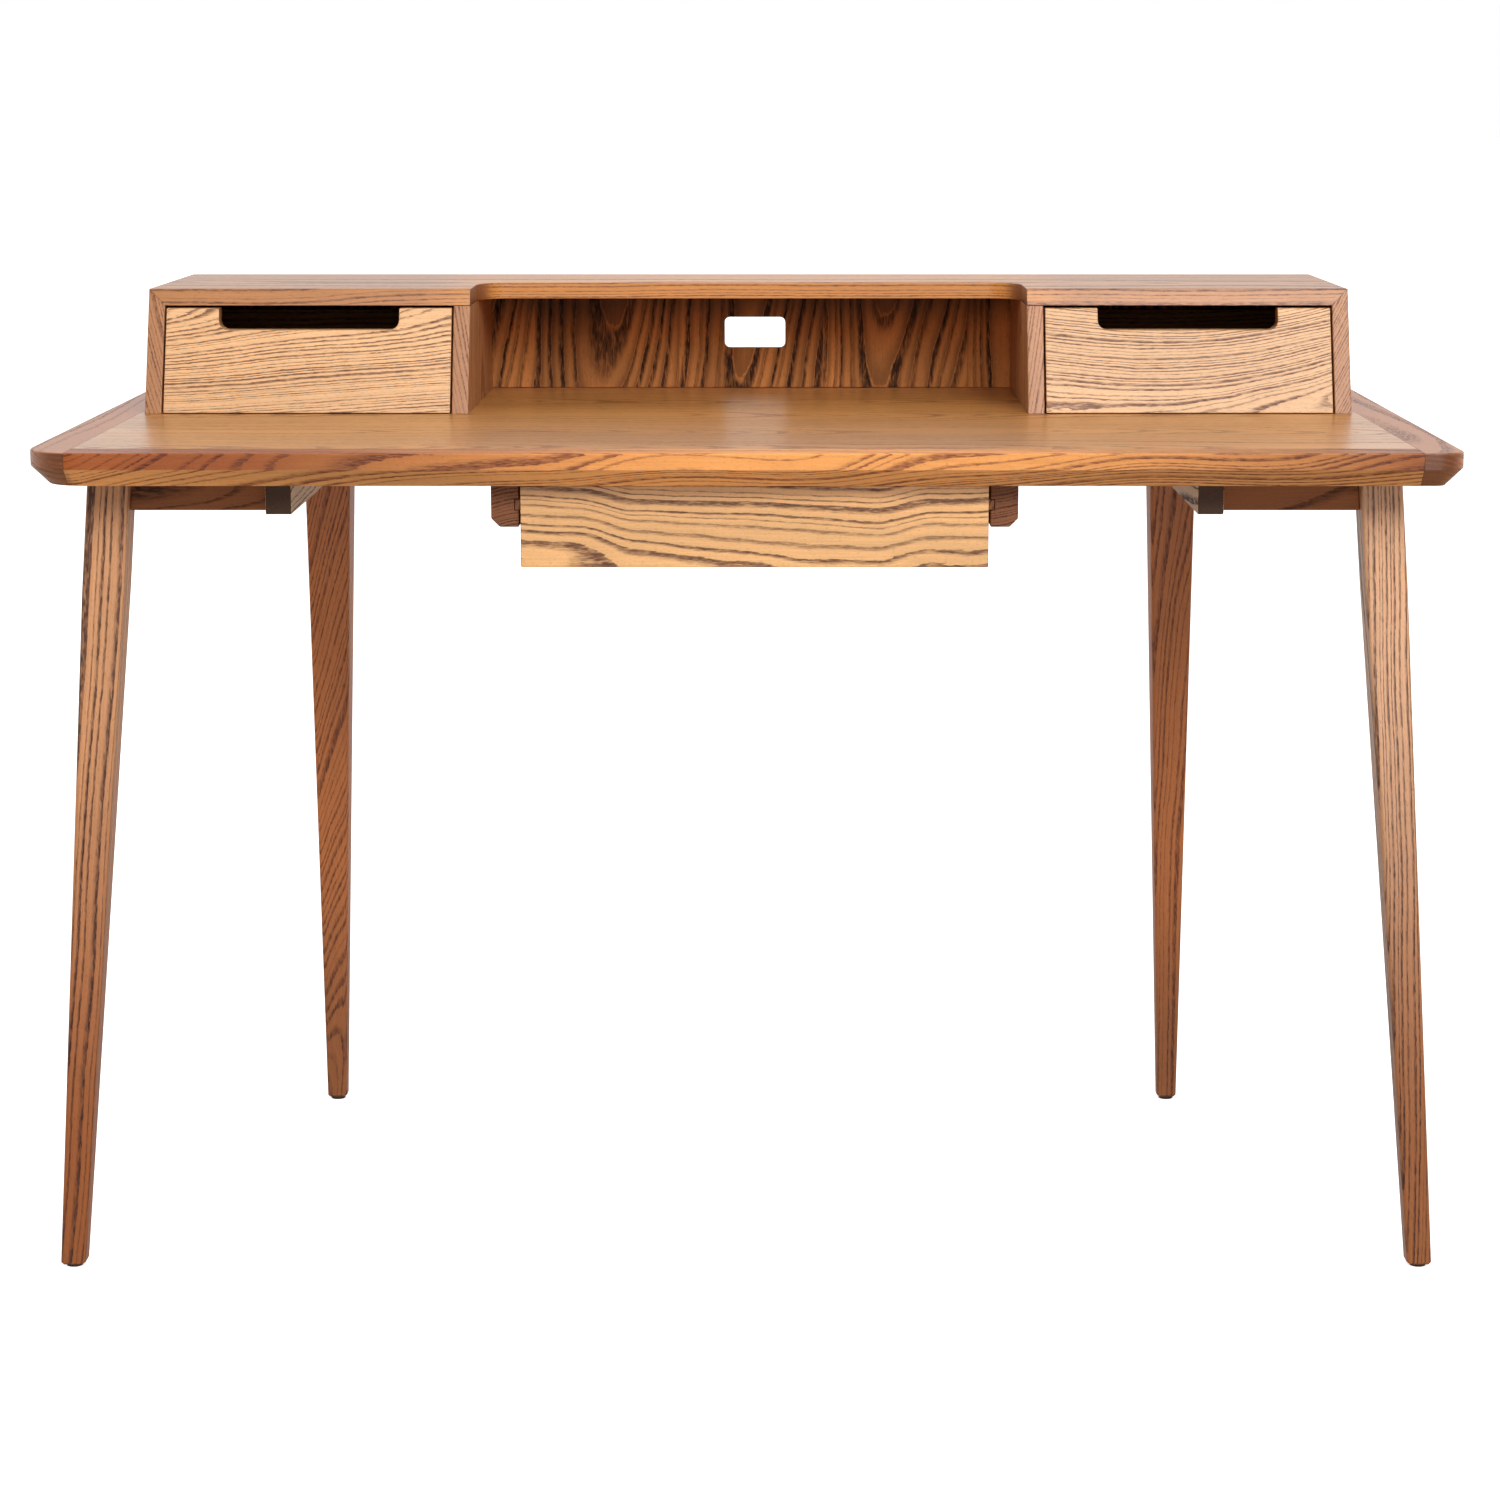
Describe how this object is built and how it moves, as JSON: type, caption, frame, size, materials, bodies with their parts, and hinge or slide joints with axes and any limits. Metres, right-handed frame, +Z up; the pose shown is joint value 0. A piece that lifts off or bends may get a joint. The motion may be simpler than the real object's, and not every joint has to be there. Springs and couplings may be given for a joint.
{
  "type": "writing desk with drawers",
  "caption": "Ash writing desk: chamfered top on splayed tapered legs, a raked hutch with notched drawers and a cubby, and a drawer hung under the top.",
  "frame": {"origin": "on the floor, under the middle of the desk's outer box", "axes": "+Z up, the front of the desk faces -Y, +X to the right of someone who sees the front"},
  "size_m": [1.2534, 0.65, 0.867],
  "materials": {
    "top_wood": "stained ash, satin lacquer",
    "hutch_wood": "stained ash, satin lacquer",
    "back_wood": "stained ash veneer, upright grain, satin lacquer",
    "front_wood": "light ash with open grain, satin lacquer",
    "frame_wood": "stained ash, satin lacquer",
    "leg_wood": "stained ash, satin lacquer",
    "box_wood": "plain hardwood, matt lacquer",
    "plywood": "thin plywood, matt lacquer",
    "screw": "zinc plated",
    "glide": "dark nylon"
  },
  "bodies": {
    "desk": {"top_panel": "top_wood", "top_front_lipping": "top_wood", "top_rear_lipping": "top_wood", "top_left_lipping": "top_wood", "top_right_lipping": "top_wood", "hutch_top": "hutch_wood", "hutch_left_side": "hutch_wood", "hutch_right_side": "hutch_wood", "hutch_left_divider": "hutch_wood", "hutch_right_divider": "hutch_wood", "hutch_back_panel": "back_wood", "left_drawer_stop": "box_wood", "right_drawer_stop": "box_wood", "centre_drawer_stop": "box_wood", "cleat_left": "frame_wood", "cleat_right": "frame_wood", "beam_left": "frame_wood", "beam_right": "frame_wood", "front_rail_left": "frame_wood", "front_rail_right": "frame_wood", "leg_front_left": "leg_wood", "leg_front_right": "leg_wood", "leg_rear_left": "leg_wood", "leg_rear_right": "leg_wood", "leg_front_left_glide": "glide", "leg_front_right_glide": "glide", "leg_rear_left_glide": "glide", "leg_rear_right_glide": "glide", "screw_beam_left_front": "screw", "screw_beam_left_middle": "screw", "screw_beam_left_rear": "screw", "screw_beam_right_front": "screw", "screw_beam_right_middle": "screw", "screw_beam_right_rear": "screw", "screw_rail_left": "screw", "screw_rail_right": "screw", "screw_cleat_left_front": "screw", "screw_cleat_left_rear": "screw", "screw_cleat_right_front": "screw", "screw_cleat_right_rear": "screw"},
    "left_drawer": {"left_drawer_front": "front_wood", "left_drawer_left_side": "box_wood", "left_drawer_right_side": "box_wood", "left_drawer_back": "box_wood", "left_drawer_bottom": "plywood"},
    "right_drawer": {"right_drawer_front": "front_wood", "right_drawer_left_side": "box_wood", "right_drawer_right_side": "box_wood", "right_drawer_back": "box_wood", "right_drawer_bottom": "plywood"},
    "centre_drawer": {"centre_drawer_front": "front_wood", "centre_drawer_left_side": "box_wood", "centre_drawer_right_side": "box_wood", "centre_drawer_back": "box_wood", "centre_drawer_bottom": "plywood", "centre_drawer_left_runner": "box_wood", "centre_drawer_right_runner": "box_wood"}
  },
  "joints": [
    {"name": "left_drawer_slide", "type": "slide", "parent": "desk", "child": "left_drawer", "axis": [0, -1, 0], "range_m": [0, 0.2]},
    {"name": "right_drawer_slide", "type": "slide", "parent": "desk", "child": "right_drawer", "axis": [0, -1, 0], "range_m": [0, 0.2]},
    {"name": "centre_drawer_slide", "type": "slide", "parent": "desk", "child": "centre_drawer", "axis": [0, -1, 0], "range_m": [0, 0.3]}
  ]
}
